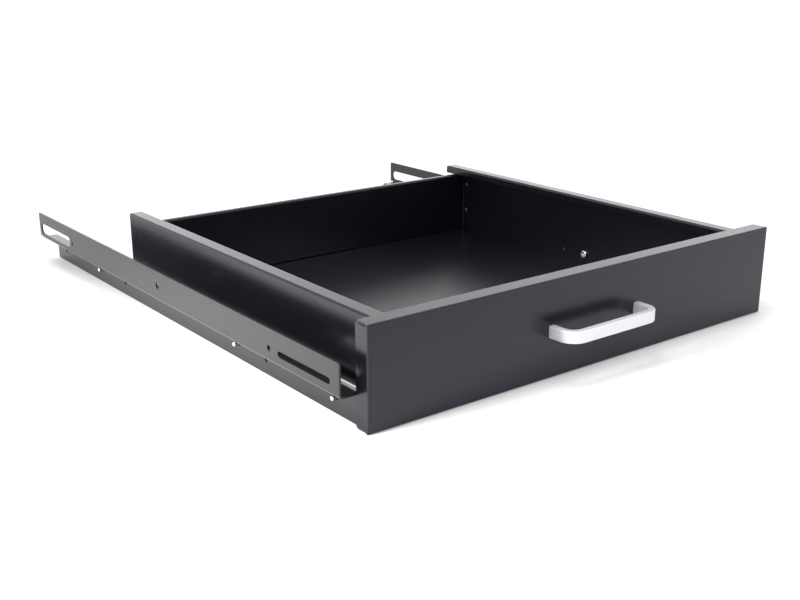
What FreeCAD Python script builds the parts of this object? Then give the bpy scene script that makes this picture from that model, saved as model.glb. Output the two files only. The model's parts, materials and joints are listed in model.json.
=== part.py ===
import FreeCAD, Part
import math
import os

V = FreeCAD.Vector

# A sliding drawer for an equipment rack: a folded steel box on a pair of ball-bearing slides, each slide
# fixed to a long offset rail that bolts to the rack. Millimetres. X runs across, Y runs from the front to
# the rear, Z is up. Depths below are measured from the front face of the drawer front; every shape is
# moved to the shared frame, whose origin is the centre of the footprint, as it is saved.

# ---- sheet metal ---------------------------------------------------------------------------------------
SHEET = 1.2                 # drawer box and front
BEND_IN = 0.8               # inside bend radius of the box sheets
RAIL_SHEET = 1.5            # rails
RAIL_BEND_IN = 1.0          # inside bend radius of the rails

# ---- drawer front --------------------------------------------------------------------------------------
FRONT_OVERLAP = 2.8         # the front reaches past the rails' lower flanges
FRONT_H = 80.0
FRONT_T = 15.0              # depth of the returned edges
CORNER_SEAM = 0.5           # open seam between neighbouring returned edges
CORNER_TRIM = 0.9           # how far the top and bottom returns stop short of the sides
CORNER_START = 3.2          # the seams start behind the front bends

# ---- pull handle ---------------------------------------------------------------------------------------
HANDLE_PITCH = 96.0         # screw to screw
HANDLE_REACH = 25.0         # how far it stands off the front
HANDLE_BAR_T = 6.0
HANDLE_BAR_H = 10.0
HANDLE_DROP = 1.0           # below the middle of the front
HANDLE_R_OUT = 14.0
HANDLE_EDGE = 1.0
HANDLE_TAP = 14.0           # depth of the tapped hole in each leg

# ---- fasteners -----------------------------------------------------------------------------------------
M4_R = 2.0
PAN_R = 4.0
PAN_H = 2.4
PAN_DOME = 0.9
RECESS_L = 4.2              # cross recess, end to end
RECESS_W = 1.0
RECESS_D = 1.3
STUD_CLEAR = 0.2            # stud to hole in the wall flange
NUT_AF = 7.0
NUT_H = 3.2
NUT_CHAMFER = 0.5
STUD_L = 8.0
STUD_SET = (13.0, 10.0)     # studs from the foot and the head of the wall flange
CSK_R = 3.75                # countersunk head
TIP_OUT = 4.6               # rail screw tip beyond the rail
TIP_CHAMFER = 0.5
RIVET_R = 1.6
RIVET_HEAD_R = 2.7
RIVET_HEAD_H = 0.9
RIVET_HEAD_ROUND = 0.72
RIVET_TAIL_R = 2.3          # flush tail, set in a countersink on the outside of the side wall
RIVET_TAIL_H = 0.7

# ---- drawer box ----------------------------------------------------------------------------------------
BOX_HALF_W = 204.0          # outside of the side walls
BOX_REAR = 411.0
WALL_DROP = 3.2             # side walls below the top of the front
WALL_BOTTOM = 2.1
TOP_FLANGE = 14.0
TOP_LIP = 7.6
FLANGE_FOOT = 6.9           # the front flange starts above the wall's foot
FLANGE_HEAD = 8.8           # and ends below its top
REAR_SET = 17.0             # inside face of the rear wall from the ends of the side walls
REAR_CLEAR = 0.2            # top of the rear wall to the side walls' lips
REAR_FLANGE = 5.0
REAR_TAB = 12.0
REAR_TAB_HEAD = 5.0         # the tabs end below the top of the rear wall
REAR_SIDE_GAP = 0.3         # rear wall to the side walls, above and below the tabs
RIVET_SET = 4.0             # rivets in front of the rear wall
RIVET_FOOT = 17.5           # lower rivet above the foot of the tab
RIVET_HEAD_DROP = 7.8       # upper rivet below the head of the tab
FLOOR_UPTURN = 12.0
FLOOR_SIDE_GAP = 2.0        # floor's front upturn to the side walls' flanges
INNER_HOLE_SET = 214.0      # spare hole in each side wall, from the front of the slide
INNER_HOLE_R = 1.5

# ---- rails ---------------------------------------------------------------------------------------------
LEDGE_W = 16.0              # outside of the lower flange to outside of the upper one
UPPER_FLANGE_H = 25.1
RAIL_BOTTOM = 1.0
LEDGE_TOP = 26.2
RAIL_FRONT = 16.0
RAIL_LEN = 560.0
LOW_SHORT = 5.0             # the ledge and the lower flange stop a little short
RAIL_CORNER = 1.6
FRONT_SLOT_SET = 11.0       # from the front end of the rail
FRONT_SLOT_L = 68.5
FRONT_SLOT_UP = 8.5         # above the ledge
FRONT_SLOT_H = 5.0
REAR_SLOT_SET = 4.5         # from the rear end of the rail
REAR_SLOT_L = 78.5
REAR_SLOT_UP = 9.3
REAR_SLOT_H = 10.5
HOLE_A = (92.0, 9.2, 2.4)   # from the front end, above the ledge, radius
HOLE_B = (278.5, 12.3, 3.0)
HOLE_C = (471.0, 9.4, 1.7)
LOW_HOLE_SET = (124.0, 384.6, 531.0)    # these go through the slide as well, as far as it reaches
LOW_HOLE_R = 1.8
LOW_HOLE_DROP = 1.4         # below the centre of the slide

# ---- slides --------------------------------------------------------------------------------------------
SLIDE_Z = 14.0              # centre height
SLIDE_SPACE = 12.7          # side space between the box and the rail
SLIDE_SET = 1.0             # slide behind the front end of the rail
SLIDE_LEN = 500.0
SLIDE_SHEET = 1.2
SLIDE_HALF_H = 13.5
BALL_R = 2.0
BALL_GAP = 0.3              # ball to raceway
RACE_FLAT = 1.0             # flat between the corner bend and the raceway
LIP_END_DEG = -10.0
INNER_LIP_GAP = 0.6         # free edge of the inner member's lips to the cage
INNER_LIP_T = 1.4
GROOVE_DEPTH = 0.4
REAR_BUMPER_L = 12.0
BUMPER_GAP = 1.0
CAGE_T = 0.6
CAGE_GAP = 0.5              # cage to the outer member's web
CAGE_OPEN = 6.0             # cage behind the front of the slide with the drawer open
CAGE_LEN = 100.0
BALL_COUNT = 7
BALL_END = 8.0
BALL_POCKET = 0.15
TRAVEL = 370.0
STOP_BLOCK_L = 10.0
STOP_BLOCK_HALF_H = 5.0
STOP_BLOCK_GAP = 0.4        # stop block to the outer member's web
STOP_BLOCK_EDGE = 0.8
BUMPER_HALF_H = 6.0
CAGE_STOP_R = 2.0
CAGE_STOP_GAP = 1.0
CAGE_STOP_H = 1.5
CAGE_STOP_EDGE = 0.375
RAIL_SCREW_SET = (26.0, 166.6, 436.3)
INNER_SCREW_SET = (28.0, 184.4)
INNER_SCREW_TIP = 3.0

# ---- derived -------------------------------------------------------------------------------------------
RAIL_IN = BOX_HALF_W + SLIDE_SPACE
RAIL_LOW_HALF_W = RAIL_IN + RAIL_SHEET
RAIL_HALF_W = RAIL_LOW_HALF_W + LEDGE_W
FRONT_HALF_W = RAIL_LOW_HALF_W + FRONT_OVERLAP
HANDLE_Z = FRONT_H / 2.0 - HANDLE_DROP
WALL_FRONT = SHEET
WALL_TOP = FRONT_H - WALL_DROP
FLOOR_UNDER = WALL_BOTTOM + SHEET
FLOOR_TOP = FLOOR_UNDER + SHEET
FRONT_FLANGE_Z = (WALL_BOTTOM + FLANGE_FOOT, WALL_TOP - FLANGE_HEAD)
STUD_Z = (FRONT_FLANGE_Z[0] + STUD_SET[0], FRONT_FLANGE_Z[1] - STUD_SET[1])
REAR_FACE = BOX_REAR - REAR_SET
REAR_TOP = WALL_TOP - TOP_LIP - REAR_CLEAR
REAR_TAB_Z = (FRONT_FLANGE_Z[0], REAR_TOP - REAR_TAB_HEAD)
REAR_RIVET_Y = REAR_FACE - RIVET_SET
REAR_RIVET_Z = (REAR_TAB_Z[0] + RIVET_FOOT, REAR_TAB_Z[1] - RIVET_HEAD_DROP)
FLOOR_SIDE_STOP = BOX_HALF_W - TOP_FLANGE - FLOOR_SIDE_GAP
RAIL_TOP = LEDGE_TOP + UPPER_FLANGE_H
RAIL_REAR = RAIL_FRONT + RAIL_LEN
LOW_REAR = RAIL_REAR - LOW_SHORT
FRONT_SLOT_Y = (RAIL_FRONT + FRONT_SLOT_SET, RAIL_FRONT + FRONT_SLOT_SET + FRONT_SLOT_L)
REAR_SLOT_Y = (RAIL_REAR - REAR_SLOT_SET - REAR_SLOT_L, RAIL_REAR - REAR_SLOT_SET)
LOW_HOLES_Y = [RAIL_FRONT + y for y in LOW_HOLE_SET]
LOW_HOLE_Z = SLIDE_Z - LOW_HOLE_DROP
SLIDE_FRONT = RAIL_FRONT + SLIDE_SET
RAIL_SCREW_Y = [SLIDE_FRONT + y for y in RAIL_SCREW_SET]
INNER_SCREW_Y = [SLIDE_FRONT + y for y in INNER_SCREW_SET]
INNER_HOLE_Y = SLIDE_FRONT + INNER_HOLE_SET
INNER_REAR = SLIDE_FRONT + SLIDE_LEN - REAR_BUMPER_L - BUMPER_GAP
RACE_R = BALL_R + BALL_GAP
RACE_OUT = RACE_R + SLIDE_SHEET
CORNER_U = RACE_OUT         # centre of the corner bend, from the rail
BALL_U = CORNER_U + RACE_FLAT
BALL_W = SLIDE_HALF_H - RACE_OUT
CAGE_U = SLIDE_SHEET + CAGE_GAP
CAGE_U_END = BALL_U + BALL_R
CAGE_FRONT = SLIDE_FRONT + CAGE_OPEN + TRAVEL / 2.0
INNER_LIP_U = CAGE_U + CAGE_T + INNER_LIP_GAP
INNER_LIP_W = BALL_W - RACE_R + GROOVE_DEPTH
Y_SHIFT = -(RAIL_REAR - HANDLE_REACH) / 2.0


def arc_edge(cx, cy, radius, start, end):
    """An arc in the profile plane, from angle start to angle end in degrees."""
    pts = []
    for angle in (start, (start + end) / 2.0, end):
        a = math.radians(angle)
        pts.append(V(cx + radius * math.cos(a), cy + radius * math.sin(a), 0))
    return Part.Arc(pts[0], pts[1], pts[2]).toShape()


def rounded_face(points, radii):
    """A face from a closed polygon whose corners are rounded by the matching radii."""
    count = len(points)
    starts = []
    ends = []
    arcs = []
    for i in range(count):
        p = V(points[i][0], points[i][1], 0)
        before = V(points[i - 1][0], points[i - 1][1], 0)
        after = V(points[(i + 1) % count][0], points[(i + 1) % count][1], 0)
        if radii[i] <= 0:
            starts.append(p)
            ends.append(p)
            arcs.append(None)
            continue
        d1 = (before - p).normalize()
        d2 = (after - p).normalize()
        half = d1.getAngle(d2) / 2.0
        reach = radii[i] / math.tan(half)
        a = p + d1 * reach
        b = p + d2 * reach
        middle = p + (d1 + d2).normalize() * (radii[i] / math.sin(half) - radii[i])
        starts.append(a)
        ends.append(b)
        arcs.append(Part.Arc(a, middle, b).toShape())
    edges = []
    for i in range(count):
        if arcs[i] is not None:
            edges.append(arcs[i])
        nxt = (i + 1) % count
        if (starts[nxt] - ends[i]).Length > 1e-6:
            edges.append(Part.makeLine(ends[i], starts[nxt]))
    return Part.Face(Part.Wire(edges))


def folded_face(path, thickness, bend_in, side):
    """The section of a sheet folded along a path. side 1 puts the sheet left of the path, -1 right."""
    pts = [V(p[0], p[1], 0) for p in path]
    dirs = [(pts[i + 1] - pts[i]).normalize() for i in range(len(pts) - 1)]
    norms = [V(-d.y, d.x, 0) * side for d in dirs]
    other = []
    near_r = []
    far_r = []
    for i in range(len(pts)):
        if i == 0:
            other.append(pts[i] + norms[0] * thickness)
            near_r.append(0.0)
            far_r.append(0.0)
        elif i == len(pts) - 1:
            other.append(pts[i] + norms[-1] * thickness)
            near_r.append(0.0)
            far_r.append(0.0)
        else:
            n1 = norms[i - 1]
            n2 = norms[i]
            other.append(pts[i] + (n1 + n2) * (thickness / (1.0 + n1.dot(n2))))
            turn = dirs[i - 1].cross(dirs[i]).z * side
            near_r.append(bend_in + thickness if turn > 0 else bend_in)
            far_r.append(bend_in if turn > 0 else bend_in + thickness)
    outline = [(p.x, p.y) for p in pts] + [(p.x, p.y) for p in reversed(other)]
    return rounded_face(outline, near_r + list(reversed(far_r)))


def along_y(face, y0, y1):
    """Extrude a section drawn in X and Z from depth y0 to depth y1."""
    solid = face.extrude(V(0, 0, y1 - y0))
    solid.rotate(V(0, 0, 0), V(1, 0, 0), 90)
    solid.translate(V(0, y1, 0))
    return solid


def along_x(face, x0, x1):
    """Extrude a section drawn in Y and Z from x0 to x1."""
    solid = face.extrude(V(0, 0, x1 - x0))
    solid.rotate(V(0, 0, 0), V(1, 1, 1), 120)
    solid.translate(V(x0, 0, 0))
    return solid


def along_z(face, z0, z1):
    """Extrude a section drawn in X and Y from z0 to z1."""
    solid = face.extrude(V(0, 0, z1 - z0))
    solid.translate(V(0, 0, z0))
    return solid


def block(x, y, z):
    """A box from three pairs of limits."""
    return Part.makeBox(x[1] - x[0], y[1] - y[0], z[1] - z[0], V(x[0], y[0], z[0]))


def rod_x(radius, x0, x1, y, z):
    """A cylinder along X."""
    return Part.makeCylinder(radius, abs(x1 - x0), V(x0, y, z), V(math.copysign(1.0, x1 - x0), 0, 0))


def rod_y(radius, y0, y1, x, z):
    """A cylinder along Y."""
    return Part.makeCylinder(radius, abs(y1 - y0), V(x, y0, z), V(0, math.copysign(1.0, y1 - y0), 0))


def slot_x(y_limits, z, height, x0, x1):
    """A round-ended slot cutter running along Y, cut through in X."""
    r = height / 2.0
    body = block((x0, x1), (y_limits[0] + r, y_limits[1] - r), (z - r, z + r))
    for y in (y_limits[0] + r, y_limits[1] - r):
        body = body.fuse(rod_x(r, x0, x1, y, z))
    return body.removeSplitter()


def mirrored(shape):
    """The left-hand twin of a right-hand shape."""
    return shape.mirror(V(0, 0, 0), V(1, 0, 0))


def pan_screw(tip):
    """A pan-head screw with a cross recess, head up: the seat is at 0 and the shank runs down to -tip."""
    head = Part.makeCylinder(PAN_R, PAN_H)
    head = head.makeFillet(PAN_DOME, [e for e in head.Edges if e.BoundBox.ZMin > PAN_H - 1e-6])
    for length, width in ((RECESS_L, RECESS_W), (RECESS_W, RECESS_L)):
        x = (-length / 2.0, length / 2.0)
        y = (-width / 2.0, width / 2.0)
        head = head.cut(block(x, y, (PAN_H - RECESS_D, PAN_H)))
    shank = Part.makeCylinder(M4_R, tip, V(0, 0, -tip))
    shank = shank.makeChamfer(TIP_CHAMFER, [e for e in shank.Edges if e.BoundBox.ZMax < -tip + 1e-6])
    return head.fuse(shank).removeSplitter()


def turned_to(shape, direction, place):
    """Turn a piece drawn along +Z so that it points along direction, and put it in place."""
    copy = shape.copy()
    placement = FreeCAD.Placement(V(*place), FreeCAD.Rotation(V(0, 0, 1), V(*direction)))
    copy.Placement = placement
    return copy


def save(shapes, name):
    """Save one node, made of one solid or of several loose ones, in the shared frame."""
    solids = []
    for shape in shapes:
        solids.extend(shape.Solids)
    node = solids[0] if len(solids) == 1 else Part.makeCompound(solids)
    node = node.copy()
    node.translate(V(0, Y_SHIFT, 0))
    node.exportStep("parts/%s.step" % name)


# ---- drawer front: a folded tray, open to the rear ------------------------------------------------------
def make_front():
    half = FRONT_HALF_W
    skin = block((-half, half), (0, FRONT_T), (0, FRONT_H))
    front_edges = [e for e in skin.Edges if e.BoundBox.YMax < 1e-6]
    skin = skin.makeFillet(BEND_IN + SHEET, front_edges)
    hollow = block((-half + SHEET, half - SHEET), (SHEET, FRONT_T + 1.0), (SHEET, FRONT_H - SHEET))
    hollow_edges = [e for e in hollow.Edges if e.BoundBox.YMax < SHEET + 1e-6]
    skin = skin.cut(hollow.makeFillet(BEND_IN, hollow_edges))
    y = (CORNER_START, FRONT_T)
    for side in (-1.0, 1.0):
        outer = side * half
        inner = side * (half - SHEET)
        trim = side * (half - CORNER_TRIM)
        seam_x = (min(outer, inner), max(outer, inner))
        trim_x = (min(outer, trim), max(outer, trim))
        skin = skin.cut(block(seam_x, y, (FRONT_H - SHEET - CORNER_SEAM, FRONT_H - SHEET)))
        skin = skin.cut(block(seam_x, y, (SHEET, SHEET + CORNER_SEAM)))
        skin = skin.cut(block(trim_x, y, (FRONT_H - SHEET, FRONT_H)))
        skin = skin.cut(block(trim_x, y, (0, SHEET)))
        skin = skin.cut(rod_y(M4_R, 0, SHEET, side * HANDLE_PITCH / 2.0, HANDLE_Z))
    return skin


def make_handle():
    x_out = (HANDLE_PITCH + HANDLE_BAR_T) / 2.0
    x_in = x_out - HANDLE_BAR_T
    y_in = -HANDLE_REACH + HANDLE_BAR_T
    outline = [(x_out, 0), (x_out, -HANDLE_REACH), (-x_out, -HANDLE_REACH), (-x_out, 0)]
    outline += [(-x_in, 0), (-x_in, y_in), (x_in, y_in), (x_in, 0)]
    r_in = HANDLE_R_OUT - HANDLE_BAR_T
    face = rounded_face(outline, [0, HANDLE_R_OUT, HANDLE_R_OUT, 0, 0, r_in, r_in, 0])
    bar = along_z(face, HANDLE_Z - HANDLE_BAR_H / 2.0, HANDLE_Z + HANDLE_BAR_H / 2.0)
    top = HANDLE_Z + HANDLE_BAR_H / 2.0 - 1e-6
    bottom = HANDLE_Z - HANDLE_BAR_H / 2.0 + 1e-6
    rims = []
    for edge in bar.Edges:
        box = edge.BoundBox
        level = box.ZMin > top or box.ZMax < bottom
        if level and box.YMin < -1e-6:
            rims.append(edge)
    bar = bar.makeFillet(HANDLE_EDGE, rims)
    for side in (-1.0, 1.0):
        bar = bar.cut(rod_y(M4_R, 0, -HANDLE_TAP, side * HANDLE_PITCH / 2.0, HANDLE_Z))
    return bar


# ---- drawer box -----------------------------------------------------------------------------------------
def make_side_wall():
    x_in = BOX_HALF_W - TOP_FLANGE
    path = [(x_in, WALL_BOTTOM), (BOX_HALF_W, WALL_BOTTOM), (BOX_HALF_W, WALL_TOP)]
    path += [(x_in, WALL_TOP), (x_in, WALL_TOP - TOP_LIP)]
    bend = BEND_IN + SHEET
    wall = along_y(folded_face(path, SHEET, BEND_IN, 1), WALL_FRONT + bend, BOX_REAR)
    plan = [(x_in, WALL_FRONT), (BOX_HALF_W, WALL_FRONT), (BOX_HALF_W, WALL_FRONT + bend * 2.0)]
    flange = along_z(folded_face(plan, SHEET, BEND_IN, 1), FRONT_FLANGE_Z[0], FRONT_FLANGE_Z[1])
    wall = wall.fuse(flange).removeSplitter()
    stud_x = BOX_HALF_W - TOP_FLANGE / 2.0
    for z in STUD_Z:
        wall = wall.cut(rod_y(M4_R + STUD_CLEAR, WALL_FRONT, WALL_FRONT + SHEET, stud_x, z))
    for y in INNER_SCREW_Y:
        wall = wall.cut(rod_x(M4_R, BOX_HALF_W - SHEET, BOX_HALF_W, y, SLIDE_Z))
    wall = wall.cut(rod_x(INNER_HOLE_R, BOX_HALF_W - SHEET, BOX_HALF_W, INNER_HOLE_Y, SLIDE_Z))
    for z in REAR_RIVET_Z:
        wall = wall.cut(rod_x(RIVET_R, BOX_HALF_W - SHEET, BOX_HALF_W, REAR_RIVET_Y, z))
        wall = wall.cut(rivet_tail(z))
    return wall


def make_rear_wall():
    inside = BOX_HALF_W - SHEET
    bend = BEND_IN + SHEET
    foot = FLOOR_TOP + BEND_IN
    path = [(REAR_FACE, foot), (REAR_FACE, REAR_TOP), (REAR_FACE + REAR_FLANGE, REAR_TOP)]
    edge = inside - REAR_SIDE_GAP
    wall = along_x(folded_face(path, SHEET, BEND_IN, -1), -edge, edge)
    for side in (-1.0, 1.0):
        corner = (min(side * inside, side * (inside - bend)), max(side * inside, side * (inside - bend)))
        wall = wall.cut(block(corner, (REAR_FACE, REAR_FACE + SHEET), REAR_TAB_Z))
        plan = [(side * inside, REAR_FACE - REAR_TAB), (side * inside, REAR_FACE + SHEET)]
        plan.append((side * (inside - bend * 2.0), REAR_FACE + SHEET))
        tab = along_z(folded_face(plan, SHEET, BEND_IN, side), REAR_TAB_Z[0], REAR_TAB_Z[1])
        for z in REAR_RIVET_Z:
            tab = tab.cut(rod_x(RIVET_R, side * (inside - SHEET), side * inside, REAR_RIVET_Y, z))
        wall = wall.fuse(tab)
    return wall.removeSplitter()


def make_floor():
    edge = BOX_HALF_W - SHEET - BEND_IN
    rear_out = REAR_FACE + SHEET * 2.0
    bend = BEND_IN + SHEET
    sheet = block((-edge, edge), (WALL_FRONT + bend, rear_out - bend), (FLOOR_UNDER, FLOOR_TOP))
    head = FLOOR_UNDER + FLOOR_UPTURN
    front = [(WALL_FRONT, head), (WALL_FRONT, FLOOR_UNDER), (WALL_FRONT + bend * 2.0, FLOOR_UNDER)]
    rear = [(rear_out - bend * 2.0, FLOOR_UNDER), (rear_out, FLOOR_UNDER), (rear_out, head)]
    for path, stop in ((front, FLOOR_SIDE_STOP), (rear, edge)):
        sheet = sheet.fuse(along_x(folded_face(path, SHEET, BEND_IN, 1), -stop, stop))
    return sheet.removeSplitter()


def rivet_tail(z):
    """The flush tail of a corner rivet, and the countersink that it fills."""
    start = V(BOX_HALF_W - RIVET_TAIL_H, REAR_RIVET_Y, z)
    return Part.makeCone(RIVET_R, RIVET_TAIL_R, RIVET_TAIL_H, start, V(1, 0, 0))


def make_corner_rivet(z):
    """A rivet through the right side wall and the rear wall's tab, head on the inside."""
    head_x = BOX_HALF_W - SHEET * 2.0
    shank = rod_x(RIVET_R, head_x, BOX_HALF_W, REAR_RIVET_Y, z)
    head = rod_x(RIVET_HEAD_R, head_x, head_x - RIVET_HEAD_H, REAR_RIVET_Y, z)
    rim = [e for e in head.Edges if e.BoundBox.XMax < head_x - RIVET_HEAD_H + 1e-6]
    head = head.makeFillet(RIVET_HEAD_ROUND, rim)
    return shank.fuse(head).fuse(rivet_tail(z)).removeSplitter()


def make_nut(x, z):
    """A hexagon nut on a stud behind the front, seated on the side wall's front flange."""
    corner = NUT_AF / math.sqrt(3.0)
    pts = []
    for k in range(6):
        a = math.radians(60.0 * k)
        pts.append(V(corner * math.cos(a), corner * math.sin(a), 0))
    nut = Part.Face(Part.makePolygon(pts + [pts[0]])).extrude(V(0, 0, NUT_H))
    cone = Part.makeCone(corner + NUT_H - NUT_CHAMFER, corner - NUT_CHAMFER, NUT_H)
    nut = nut.common(cone)
    nut = nut.cut(Part.makeCylinder(M4_R, NUT_H))
    return turned_to(nut, (0, 1, 0), (x, WALL_FRONT + SHEET, z))


# ---- rails ----------------------------------------------------------------------------------------------
def screw_cone(y):
    """The countersink through the outer slide member into the rail, head towards the drawer."""
    depth = CSK_R - M4_R
    top = RAIL_IN - SLIDE_SHEET
    return Part.makeCone(CSK_R, M4_R, depth, V(top, y, SLIDE_Z), V(1, 0, 0))


def make_rail():
    path = [(RAIL_HALF_W, RAIL_TOP), (RAIL_HALF_W, LEDGE_TOP - RAIL_SHEET)]
    path += [(RAIL_LOW_HALF_W, LEDGE_TOP - RAIL_SHEET), (RAIL_LOW_HALF_W, RAIL_BOTTOM)]
    face = folded_face(path, RAIL_SHEET, RAIL_BEND_IN, -1)
    rail = along_y(face, RAIL_FRONT, RAIL_REAR)
    bend = RAIL_BEND_IN + RAIL_SHEET
    split = RAIL_HALF_W - bend
    rail = rail.cut(block((0, split), (LOW_REAR, RAIL_REAR), (0, RAIL_TOP)))
    notch_top = LEDGE_TOP - RAIL_SHEET + bend
    rail = rail.cut(block((0, RAIL_HALF_W), (LOW_REAR, RAIL_REAR), (0, notch_top)))
    corners = []
    for edge in rail.Edges:
        box = edge.BoundBox
        along = box.XLength > RAIL_SHEET - 1e-6 and box.YLength < 1e-6 and box.ZLength < 1e-6
        at_top = box.ZMin > RAIL_TOP - 1e-6
        at_end = box.YMax < RAIL_FRONT + 1e-6 or box.YMin > RAIL_REAR - 1e-6
        if along and at_top and at_end:
            corners.append(edge)
    rail = rail.makeFillet(RAIL_CORNER, corners)
    x0 = RAIL_HALF_W - RAIL_SHEET
    rail = rail.cut(slot_x(FRONT_SLOT_Y, LEDGE_TOP + FRONT_SLOT_UP, FRONT_SLOT_H, x0, RAIL_HALF_W))
    rail = rail.cut(slot_x(REAR_SLOT_Y, LEDGE_TOP + REAR_SLOT_UP, REAR_SLOT_H, x0, RAIL_HALF_W))
    for y, up, r in (HOLE_A, HOLE_B, HOLE_C):
        rail = rail.cut(rod_x(r, x0, RAIL_HALF_W, RAIL_FRONT + y, LEDGE_TOP + up))
    for y in LOW_HOLES_Y:
        rail = rail.cut(rod_x(LOW_HOLE_R, RAIL_IN, RAIL_LOW_HALF_W, y, LOW_HOLE_Z))
    for y in RAIL_SCREW_Y:
        rail = rail.cut(rod_x(M4_R, RAIL_IN, RAIL_LOW_HALF_W, y, SLIDE_Z))
        rail = rail.cut(screw_cone(y))
    return rail


def make_rail_screw(y):
    tip = RAIL_LOW_HALF_W + TIP_OUT
    shank = rod_x(M4_R, RAIL_IN - SLIDE_SHEET, tip, y, SLIDE_Z)
    shank = shank.makeChamfer(TIP_CHAMFER, [e for e in shank.Edges if e.BoundBox.XMin > tip - 1e-6])
    return shank.fuse(screw_cone(y)).removeSplitter()


# ---- slides: drawn with u away from the rail and w up from the centre height -----------------------------
def slide_solid(face, y0, y1):
    """Extrude a slide section along Y on the right-hand side."""
    solid = along_y(face, y0, y1)
    solid = mirrored(solid)
    solid.translate(V(RAIL_IN, 0, SLIDE_Z))
    return solid


def make_outer_member():
    half = []
    half.append(arc_edge(CORNER_U, BALL_W, RACE_OUT, 180, 90))
    half.append(Part.makeLine(V(CORNER_U, SLIDE_HALF_H, 0), V(BALL_U, SLIDE_HALF_H, 0)))
    half.append(arc_edge(BALL_U, BALL_W, RACE_OUT, 90, LIP_END_DEG))
    outer_end = half[-1].Vertexes[-1].Point
    inner_arc = arc_edge(BALL_U, BALL_W, RACE_R, LIP_END_DEG, 90)
    half.append(Part.makeLine(outer_end, inner_arc.Vertexes[0].Point))
    half.append(inner_arc)
    top_in = SLIDE_HALF_H - SLIDE_SHEET
    half.append(Part.makeLine(V(BALL_U, top_in, 0), V(CORNER_U, top_in, 0)))
    half.append(arc_edge(CORNER_U, BALL_W, RACE_R, 90, 180))
    corner_in = CORNER_U - RACE_R
    corner_out = CORNER_U - RACE_OUT
    edges = list(half)
    for edge in half:
        edges.append(edge.mirror(V(0, 0, 0), V(0, 1, 0)))
    edges.append(Part.makeLine(V(corner_in, BALL_W, 0), V(corner_in, -BALL_W, 0)))
    edges.append(Part.makeLine(V(corner_out, BALL_W, 0), V(corner_out, -BALL_W, 0)))
    face = Part.Face(Part.Wire(Part.__sortEdges__(edges)))
    member = slide_solid(face, SLIDE_FRONT, SLIDE_FRONT + SLIDE_LEN)
    for y in RAIL_SCREW_Y:
        member = member.cut(rod_x(M4_R, RAIL_IN - SLIDE_SHEET, RAIL_IN, y, SLIDE_Z))
        member = member.cut(screw_cone(y))
    for y in LOW_HOLES_Y:
        member = member.cut(rod_x(LOW_HOLE_R, RAIL_IN - SLIDE_SHEET, RAIL_IN, y, LOW_HOLE_Z))
    return member


def make_inner_member():
    path = [(INNER_LIP_U, INNER_LIP_W), (SLIDE_SPACE, INNER_LIP_W)]
    path += [(SLIDE_SPACE, -INNER_LIP_W), (INNER_LIP_U, -INNER_LIP_W)]
    face = folded_face(path, INNER_LIP_T, BEND_IN, -1)
    for w in (-BALL_W, BALL_W):
        groove = Part.Face(Part.Wire(Part.makeCircle(RACE_R, V(BALL_U, w, 0))))
        face = face.cut(groove)
    member = slide_solid(face, SLIDE_FRONT, INNER_REAR)
    for y in INNER_SCREW_Y:
        member = member.cut(rod_x(M4_R, BOX_HALF_W, BOX_HALF_W + INNER_LIP_T, y, SLIDE_Z))
    return member


def ball_places():
    """Ball centres of the right-hand cage."""
    first = CAGE_FRONT + BALL_END
    step = (CAGE_LEN - 2.0 * BALL_END) / (BALL_COUNT - 1)
    places = []
    for w in (-BALL_W, BALL_W):
        for k in range(BALL_COUNT):
            places.append(V(RAIL_IN - BALL_U, first + k * step, SLIDE_Z + w))
    return places


def make_cage():
    w = BALL_W + CAGE_T / 2.0
    path = [(CAGE_U_END, w), (CAGE_U, w), (CAGE_U, -w), (CAGE_U_END, -w)]
    cage = slide_solid(folded_face(path, CAGE_T, CAGE_T, 1), CAGE_FRONT, CAGE_FRONT + CAGE_LEN)
    for place in ball_places():
        base = place - V(0, 0, CAGE_T)
        cage = cage.cut(Part.makeCylinder(BALL_R + BALL_POCKET, CAGE_T * 2.0, base))
    return cage


def make_rear_bumper():
    x = (BOX_HALF_W + STOP_BLOCK_GAP, RAIL_IN - SLIDE_SHEET)
    rear = SLIDE_FRONT + SLIDE_LEN
    body = block(x, (rear - REAR_BUMPER_L, rear), (SLIDE_Z - BUMPER_HALF_H, SLIDE_Z + BUMPER_HALF_H))
    return body.makeFillet(STOP_BLOCK_EDGE, body.Edges)


def make_travel_stop():
    x = (BOX_HALF_W + INNER_LIP_T, RAIL_IN - SLIDE_SHEET - STOP_BLOCK_GAP)
    z = (SLIDE_Z - STOP_BLOCK_HALF_H, SLIDE_Z + STOP_BLOCK_HALF_H)
    body = block(x, (INNER_REAR - STOP_BLOCK_L, INNER_REAR), z)
    return body.makeFillet(STOP_BLOCK_EDGE, body.Edges)


def make_cage_stop():
    """The stud on the outer member's web that the cage meets when the drawer is fully out."""
    web = RAIL_IN - SLIDE_SHEET
    y = CAGE_FRONT - TRAVEL / 2.0 - CAGE_STOP_GAP - CAGE_STOP_R
    stud = rod_x(CAGE_STOP_R, web, web - CAGE_STOP_H, y, SLIDE_Z)
    rim = [e for e in stud.Edges if e.BoundBox.XMax < web - CAGE_STOP_H + 1e-6]
    return stud.makeFillet(CAGE_STOP_EDGE, rim)


# ---- build and save -------------------------------------------------------------------------------------
os.makedirs("parts", exist_ok=True)

stud_half = BOX_HALF_W - TOP_FLANGE / 2.0
stud_places = [(side * stud_half, z) for side in (-1.0, 1.0) for z in STUD_Z]
handle_screw = pan_screw(HANDLE_TAP - TIP_CHAMFER)
inner_screw = pan_screw(SHEET + INNER_LIP_T + INNER_SCREW_TIP)
inner_screws = [turned_to(inner_screw, (-1, 0, 0), (BOX_HALF_W - SHEET, y, SLIDE_Z)) for y in INNER_SCREW_Y]
corner_rivets = [make_corner_rivet(z) for z in REAR_RIVET_Z]

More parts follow.
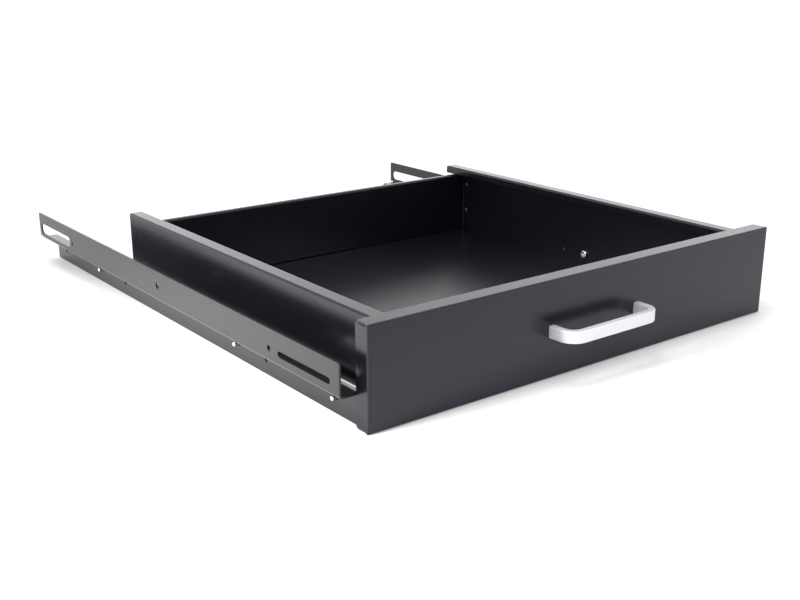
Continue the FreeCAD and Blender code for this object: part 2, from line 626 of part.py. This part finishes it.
save([make_front()], "front_panel")
save([make_handle()], "pull_handle")
handle_x = (-HANDLE_PITCH / 2.0, HANDLE_PITCH / 2.0)
save([turned_to(handle_screw, (0, 1, 0), (x, SHEET, HANDLE_Z)) for x in handle_x], "handle_screws")
save([make_rear_wall()], "rear_wall")
save([make_floor()], "floor_pan")
save(corner_rivets + [mirrored(r) for r in corner_rivets], "corner_rivets")
save([rod_y(M4_R, SHEET, SHEET + STUD_L, x, z) for x, z in stud_places], "front_studs")
save([make_nut(x, z) for x, z in stud_places], "front_nuts")

balls = [Part.makeSphere(BALL_R, place) for place in ball_places()]
pairs = {
    "side_wall": [make_side_wall()],
    "rail": [make_rail()],
    "slide_outer": [make_outer_member()],
    "slide_inner": [make_inner_member()],
    "ball_cage": [make_cage()],
    "slide_balls": balls,
    "rail_screws": [make_rail_screw(y) for y in RAIL_SCREW_Y],
    "inner_screws": inner_screws,
    "rear_bumper": [make_rear_bumper()],
    "travel_stop": [make_travel_stop()],
    "cage_stop": [make_cage_stop()],
}
for name, shapes in pairs.items():
    save(shapes, name + "_right")
    save([mirrored(shape) for shape in shapes], name + "_left")
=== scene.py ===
import json
import math

import bpy
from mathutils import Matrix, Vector


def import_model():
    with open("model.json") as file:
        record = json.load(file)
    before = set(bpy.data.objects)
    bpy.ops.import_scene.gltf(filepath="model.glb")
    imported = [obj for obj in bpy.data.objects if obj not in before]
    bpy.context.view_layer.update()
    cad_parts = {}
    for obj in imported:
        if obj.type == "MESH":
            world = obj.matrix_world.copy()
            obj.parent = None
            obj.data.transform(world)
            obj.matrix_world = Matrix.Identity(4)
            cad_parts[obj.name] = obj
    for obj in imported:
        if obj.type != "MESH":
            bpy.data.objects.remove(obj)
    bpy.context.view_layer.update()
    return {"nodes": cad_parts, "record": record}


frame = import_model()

MM = 0.001

# A sliding rack drawer, in metres, in the frame of the CAD model: X to the right, Y to the rear, Z up, with
# the origin on the floor in the middle of the model's box. Every visible shape is a solid of the CAD model.
# This script gives the solids their materials and adds a floor, the light and a camera.


# ---- node helpers ---------------------------------------------------------------------------------------
class Look:
    """A procedural material on one Principled shader, built in the object's own coordinates."""

    def __init__(self, name):
        self.material = bpy.data.materials.new(name)
        self.material.use_nodes = True
        self.tree = self.material.node_tree
        self.shader = self.tree.nodes["Principled BSDF"]
        self.place = self.node("ShaderNodeTexCoord").outputs["Object"]

    def node(self, kind, **settings):
        made = self.tree.nodes.new(kind)
        for key, value in settings.items():
            setattr(made, key, value)
        return made

    def join(self, source, target):
        self.tree.links.new(source, target)

    def set(self, **values):
        """Fixed values on the shader's own sockets."""
        for key, value in values.items():
            self.shader.inputs[key.replace("_", " ")].default_value = value

    def stretched(self, scale):
        """The object's coordinates times scale: below 1, it draws noise out along that axis."""
        mapping = self.node("ShaderNodeMapping")
        mapping.inputs["Scale"].default_value = scale
        self.join(self.place, mapping.inputs["Vector"])
        return mapping.outputs["Vector"]

    def noise(self, scale, detail=2.0, rough=0.5, place=None):
        """Noise from 0 to 1, with scale cells to the metre."""
        made = self.node("ShaderNodeTexNoise")
        made.inputs["Scale"].default_value = scale
        made.inputs["Detail"].default_value = detail
        made.inputs["Roughness"].default_value = rough
        self.join(place or self.place, made.inputs["Vector"])
        return made.outputs["Fac"]

    def cells(self, scale):
        """The distance from the cell centres of a Voronoi pattern, with scale cells to the metre."""
        made = self.node("ShaderNodeTexVoronoi")
        made.inputs["Scale"].default_value = scale
        self.join(self.place, made.inputs["Vector"])
        return made.outputs["Distance"]

    def ramp(self, source, low, high, start=0.0, end=1.0):
        """low where source is at start or before it, high from end on, and a straight line in between."""
        made = self.node("ShaderNodeMapRange")
        made.inputs["From Min"].default_value = start
        made.inputs["From Max"].default_value = end
        made.inputs["To Min"].default_value = low
        made.inputs["To Max"].default_value = high
        self.join(source, made.inputs["Value"])
        return made.outputs["Result"]

    def maths(self, operation, first, second):
        """An operation on two outputs, or on an output and a float, kept between 0 and 1."""
        made = self.node("ShaderNodeMath", operation=operation, use_clamp=True)
        for slot, value in zip(made.inputs, (first, second)):
            if isinstance(value, float):
                slot.default_value = value
            else:
                self.join(value, slot)
        return made.outputs["Value"]

    def mix(self, factor, first, second):
        """A colour between first and second, each a colour or another node's output."""
        made = self.node("ShaderNodeMix", data_type="RGBA")
        self.join(factor, made.inputs["Factor"])
        for slot, value in ((made.inputs[6], first), (made.inputs[7], second)):
            if isinstance(value, tuple):
                slot.default_value = (*value, 1.0)
            else:
                self.join(value, slot)
        return made.outputs[2]

    def rounded(self, radius):
        """The surface's normal, as if its edges were rounded by radius."""
        made = self.node("ShaderNodeBevel", samples=6)
        made.inputs["Radius"].default_value = radius
        return made.outputs["Normal"]

    def edges(self, radius):
        """1 along sharp edges and 0 away from them, from how far rounding turns the normal."""
        soft = self.rounded(radius)
        flat = self.node("ShaderNodeNewGeometry").outputs["Normal"]
        dot = self.node("ShaderNodeVectorMath", operation="DOT_PRODUCT")
        self.join(soft, dot.inputs[0])
        self.join(flat, dot.inputs[1])
        return self.ramp(dot.outputs["Value"], low=1.0, high=0.0, start=0.86, end=0.995)

    def bump(self, *layers, edge=0.0):
        """Bump from (height, depth in metres) layers, on edges rounded by the radius edge."""
        normal = self.rounded(edge) if edge else None
        for height, depth in layers:
            made = self.node("ShaderNodeBump")
            made.inputs["Distance"].default_value = depth
            self.join(height, made.inputs["Height"])
            if normal is not None:
                self.join(normal, made.inputs["Normal"])
            normal = made.outputs["Normal"]
        self.join(normal, self.shader.inputs["Normal"])

    def colour(self, output):
        self.join(output, self.shader.inputs["Base Color"])

    def roughness(self, output):
        self.join(output, self.shader.inputs["Roughness"])


# ---- materials ------------------------------------------------------------------------------------------
# Colours are linear red, green and blue. A coat is thin on edges, and its tint and level are the specular's.
DRAWER_COAT = {
    "dark": (0.0030, 0.0032, 0.0050),
    "light": (0.0042, 0.0044, 0.0066),
    "thin": (0.018, 0.018, 0.021),
    "tint": (0.84, 0.82, 1.0),
    "level": 0.44,
    "rough": 0.23,
}
RAIL_COAT = {
    "dark": (0.0050, 0.0050, 0.0048),
    "light": (0.0070, 0.0070, 0.0068),
    "thin": (0.060, 0.060, 0.058),
    "tint": (1.0, 1.0, 0.98),
    "level": 0.46,
    "rough": 0.21,
}
FLECK_GAIN = 2.2
ALUMINIUM_TONES = ((0.60, 0.605, 0.635), (0.68, 0.685, 0.715))
ALUMINIUM_LINE = (0.56, 0.565, 0.59)
ZINC_TONES = ((0.50, 0.52, 0.55), (0.62, 0.62, 0.61))
ZINC_SPOT = (0.42, 0.44, 0.47)
ZINC_ROUGH_GAIN = 2.2
STRIP_TONES = ((0.50, 0.50, 0.50), (0.63, 0.62, 0.60))
BALL_TONES = ((0.74, 0.74, 0.75), (0.82, 0.82, 0.82))
BLACK_ZINC_TONES = ((0.15, 0.15, 0.16), (0.24, 0.24, 0.25))
PLASTIC_TONES = ((0.020, 0.020, 0.021), (0.036, 0.036, 0.037))


def scaled(colour, gain):
    return tuple(gain * part for part in colour)


def powder_coat(name, dark, light, thin, tint, level, rough):
    """Powder coat on steel: fine orange peel, soft blotches, small flecks, hazy gloss, and thin on edges."""
    look = Look(name)
    blotch = look.noise(28.0, detail=4.0, rough=0.6)
    peel = look.noise(900.0)
    grain = look.noise(3600.0, detail=1.0)
    haze = look.noise(9.0, detail=3.0)
    base = look.mix(blotch, dark, light)
    fleck = look.ramp(grain, low=0.0, high=0.35, start=0.62, end=0.80)
    base = look.mix(fleck, base, scaled(light, FLECK_GAIN))
    edge = look.edges(0.7 * MM)
    patch = look.ramp(look.noise(240.0, detail=3.0), low=0.15, high=0.6, start=0.35, end=0.7)
    look.colour(look.mix(look.maths("MULTIPLY", edge, patch), base, thin))
    haze_rough = look.maths("ADD", look.ramp(haze, low=-0.02, high=0.03, start=0.3, end=0.7), rough)
    look.roughness(look.maths("ADD", haze_rough, look.ramp(peel, low=-0.02, high=0.02)))
    look.bump((peel, 0.012 * MM), (grain, 0.004 * MM), edge=0.35 * MM)
    look.set(Specular_IOR_Level=level, IOR=1.5, Specular_Tint=(*tint, 1.0))
    return look.material


def satin_aluminium(name):
    """Blasted and anodised aluminium: even and pale, with a fine tooth and faint draw lines."""
    look = Look(name)
    tooth = look.noise(5200.0)
    draw = look.noise(700.0, detail=3.0, rough=0.6, place=look.stretched((0.06, 1.0, 1.0)))
    cloud = look.noise(40.0, detail=3.0)
    base = look.mix(cloud, *ALUMINIUM_TONES)
    line = look.ramp(draw, low=0.0, high=0.25, start=0.45, end=0.8)
    look.colour(look.mix(line, base, ALUMINIUM_LINE))
    both = look.maths("MULTIPLY", tooth, draw)
    look.roughness(look.ramp(both, low=0.40, high=0.54, start=0.1, end=0.45))
    look.bump((tooth, 0.006 * MM), (draw, 0.004 * MM), edge=0.3 * MM)
    look.set(Metallic=0.35, Specular_IOR_Level=0.5)
    return look.material


def zinc_plate(name, rough, bright):
    """Zinc on steel: long rolling lines, a faint blue cast and small dull spots. bright scales its tones."""
    look = Look(name)
    lines = look.noise(1500.0, detail=4.0, rough=0.6, place=look.stretched((1.0, 0.02, 1.0)))
    cloud = look.noise(55.0, detail=4.0, rough=0.6)
    spots = look.cells(420.0)
    blue, grey = (scaled(tone, bright) for tone in ZINC_TONES)
    base = look.mix(cloud, blue, grey)
    dull = look.ramp(spots, low=0.35, high=0.0, start=0.05, end=0.28)
    look.colour(look.mix(dull, base, scaled(ZINC_SPOT, bright)))
    line_rough = look.ramp(lines, low=rough, high=ZINC_ROUGH_GAIN * rough, start=0.3, end=0.7)
    look.roughness(look.maths("ADD", line_rough, look.ramp(dull, low=0.0, high=0.10)))
    look.bump((lines, 0.006 * MM), (cloud, 0.02 * MM), edge=0.2 * MM)
    look.set(Metallic=1.0)
    return look.material


def rolled_steel(name):
    """Plain rolled strip, oiled and duller than the zinc, with lines along the slide."""
    look = Look(name)
    lines = look.noise(1900.0, detail=4.0, rough=0.65, place=look.stretched((1.0, 0.015, 1.0)))
    film = look.noise(90.0, detail=4.0, rough=0.6)
    look.colour(look.mix(film, *STRIP_TONES))
    look.roughness(look.ramp(lines, low=0.22, high=0.42, start=0.3, end=0.7))
    look.bump((lines, 0.005 * MM), edge=0.1 * MM)
    look.set(Metallic=1.0)
    return look.material


def bearing_steel(name):
    """Polished balls with hair scratches and a thin film of grease."""
    look = Look(name)
    scratch = look.noise(2600.0, detail=5.0, rough=0.7, place=look.stretched((1.0, 0.2, 0.6)))
    film = look.noise(500.0, detail=3.0)
    look.colour(look.mix(film, *BALL_TONES))
    look.roughness(look.ramp(scratch, low=0.06, high=0.22, start=0.35, end=0.75))
    look.bump((scratch, 0.001 * MM))
    look.set(Metallic=1.0)
    return look.material


def dark_rivet(name):
    """Rivets in black zinc: dark metal, hammered, and rubbed paler in patches."""
    look = Look(name)
    hammer = look.noise(1100.0, detail=3.0)
    rubbed = look.ramp(look.noise(600.0, detail=3.0), low=0.0, high=0.5, start=0.45, end=0.75)
    look.colour(look.mix(rubbed, *BLACK_ZINC_TONES))
    look.roughness(look.ramp(hammer, low=0.16, high=0.28))
    look.bump((hammer, 0.01 * MM), edge=0.15 * MM)
    look.set(Metallic=1.0)
    return look.material


def moulded_plastic(name):
    """Black moulded plastic with a spark-eroded texture."""
    look = Look(name)
    spark = look.noise(2600.0)
    flow = look.noise(70.0, detail=4.0, rough=0.6)
    look.colour(look.mix(flow, *PLASTIC_TONES))
    look.roughness(look.ramp(spark, low=0.45, high=0.65))
    look.bump((spark, 0.02 * MM), edge=0.2 * MM)
    look.set(Specular_IOR_Level=0.45)
    return look.material


LOOKS = {
    "black_coat": powder_coat("black_coat", **DRAWER_COAT),
    "rail_coat": powder_coat("rail_coat", **RAIL_COAT),
    "satin_aluminium": satin_aluminium("satin_aluminium"),
    "zinc_steel": zinc_plate("zinc_steel", rough=0.14, bright=1.0),
    "cage_steel": rolled_steel("cage_steel"),
    "ball_steel": bearing_steel("ball_steel"),
    "dark_rivet": dark_rivet("dark_rivet"),
    "black_plastic": moulded_plastic("black_plastic"),
}

# The screws share a slot with the slides. Their zinc is smoother, and its tones are painted half again
# brighter as a painted highlight for the light the screws catch.
SCREW_ZINC_PAINTED_BRIGHT = zinc_plate("screw_zinc_painted_bright", rough=0.07, bright=1.45)

for part in frame["record"]["subparts"]:
    node = frame["nodes"][part["node"]]
    node.data.materials.clear()
    node.data.materials.append(SCREW_ZINC_PAINTED_BRIGHT if "screws" in part["node"] else LOOKS[part["material_slot"]])


# ---- floor, light and camera ----------------------------------------------------------------------------
FLOOR_HALF = 40.0
FLOOR_TONES = ((0.86, 0.86, 0.86), (0.88, 0.88, 0.88))
WALL_STRENGTH = 2.2
CORNER_STRENGTH = 0.95
CEILING_STRENGTH = 1.3
WALL_TO_CORNER = (15.0, 19.0)       # degrees above the horizon
CORNER_TO_CEILING = (30.0, 45.0)    # degrees above the horizon
OVERHEAD = {
    "place": (-0.25, -0.1, 1.5),
    "target": (0.0, 0.0, 0.0),
    "width": 0.3,
    "height": 0.3,
    "watts": 4.0,
    "spread": 180.0,
}
LEFT = {
    "place": (-0.95, -0.02, 0.42),
    "target": (-0.27, -0.10, 0.0),
    "width": 0.5,
    "height": 0.25,
    "watts": 1.3,
    "spread": 40.0,
}
CAMERA_PLACE = (-0.6233, -0.8339, 0.3186)
CAMERA_YAW = 37.53                  # degrees to the right of +Y
CAMERA_PITCH = -17.79               # degrees above the horizon
CAMERA_LENS = 49.48                 # millimetres, as is the sensor's width
CAMERA_SENSOR = 36.0
CAMERA_REACH = 200.0


def add(name, data):
    """A new object in the scene that holds data."""
    made = bpy.data.objects.new(name, data)
    bpy.context.scene.collection.objects.link(made)
    return made


def floor():
    """A plain pale floor, far larger than the view."""
    half = FLOOR_HALF
    corners = [(-half, -half, 0.0), (half, -half, 0.0), (half, half, 0.0), (-half, half, 0.0)]
    mesh = bpy.data.meshes.new("studio_floor")
    mesh.from_pydata(corners, [], [(0, 1, 2, 3)])
    made = add("studio_floor", mesh)
    look = Look("studio_floor")
    look.colour(look.mix(look.noise(1.5, detail=3.0), *FLOOR_TONES))
    look.roughness(look.ramp(look.noise(6.0, detail=3.0), low=0.75, high=0.85))
    mesh.materials.append(look.material)


def softbox(name, place, target, width, height, watts, spread):
    """A rectangular light whose beam opens by spread degrees."""
    light = bpy.data.lights.new(name, "AREA")
    light.shape = "RECTANGLE"
    light.size = width
    light.size_y = height
    light.energy = watts
    light.spread = math.radians(spread)
    made = add(name, light)
    made.location = place
    made.rotation_euler = (Vector(target) - Vector(place)).to_track_quat("-Z", "Y").to_euler()


def world():
    """White walls, a dimmer band where they meet the ceiling, and a bright ceiling."""
    made = bpy.data.worlds.new("studio")
    made.use_nodes = True
    nodes = made.node_tree.nodes
    links = made.node_tree.links
    direction = nodes.new("ShaderNodeTexCoord")
    split = nodes.new("ShaderNodeSeparateXYZ")
    links.new(direction.outputs["Generated"], split.inputs["Vector"])
    total = nodes.new("ShaderNodeMath")
    total.operation = "ADD"
    lower = (WALL_TO_CORNER, WALL_STRENGTH, CORNER_STRENGTH)
    upper = (CORNER_TO_CEILING, 0.0, CEILING_STRENGTH - CORNER_STRENGTH)
    for slot, (elevations, before, after) in zip(total.inputs, (lower, upper)):
        start, end = (math.sin(math.radians(elevation)) for elevation in elevations)
        fade = nodes.new("ShaderNodeMapRange")
        fade.inputs["From Min"].default_value = start
        fade.inputs["From Max"].default_value = end
        fade.inputs["To Min"].default_value = before
        fade.inputs["To Max"].default_value = after
        links.new(split.outputs["Z"], fade.inputs["Value"])
        links.new(fade.outputs["Result"], slot)
    background = nodes["Background"]
    background.inputs["Color"].default_value = (1.0, 1.0, 1.0, 1.0)
    links.new(total.outputs["Value"], background.inputs["Strength"])
    bpy.context.scene.world = made


def camera():
    """The drawer seen from the front left and above."""
    lens = bpy.data.cameras.new("camera")
    lens.lens = CAMERA_LENS
    lens.sensor_width = CAMERA_SENSOR
    lens.clip_end = CAMERA_REACH
    made = add("camera", lens)
    made.location = CAMERA_PLACE
    tilt = math.pi / 2.0 + math.radians(CAMERA_PITCH)
    made.rotation_euler = (tilt, 0.0, -math.radians(CAMERA_YAW))
    bpy.context.scene.camera = made


floor()
world()
softbox("overhead", **OVERHEAD)
softbox("left", **LEFT)
camera()
bpy.context.scene.view_settings.view_transform = "Standard"
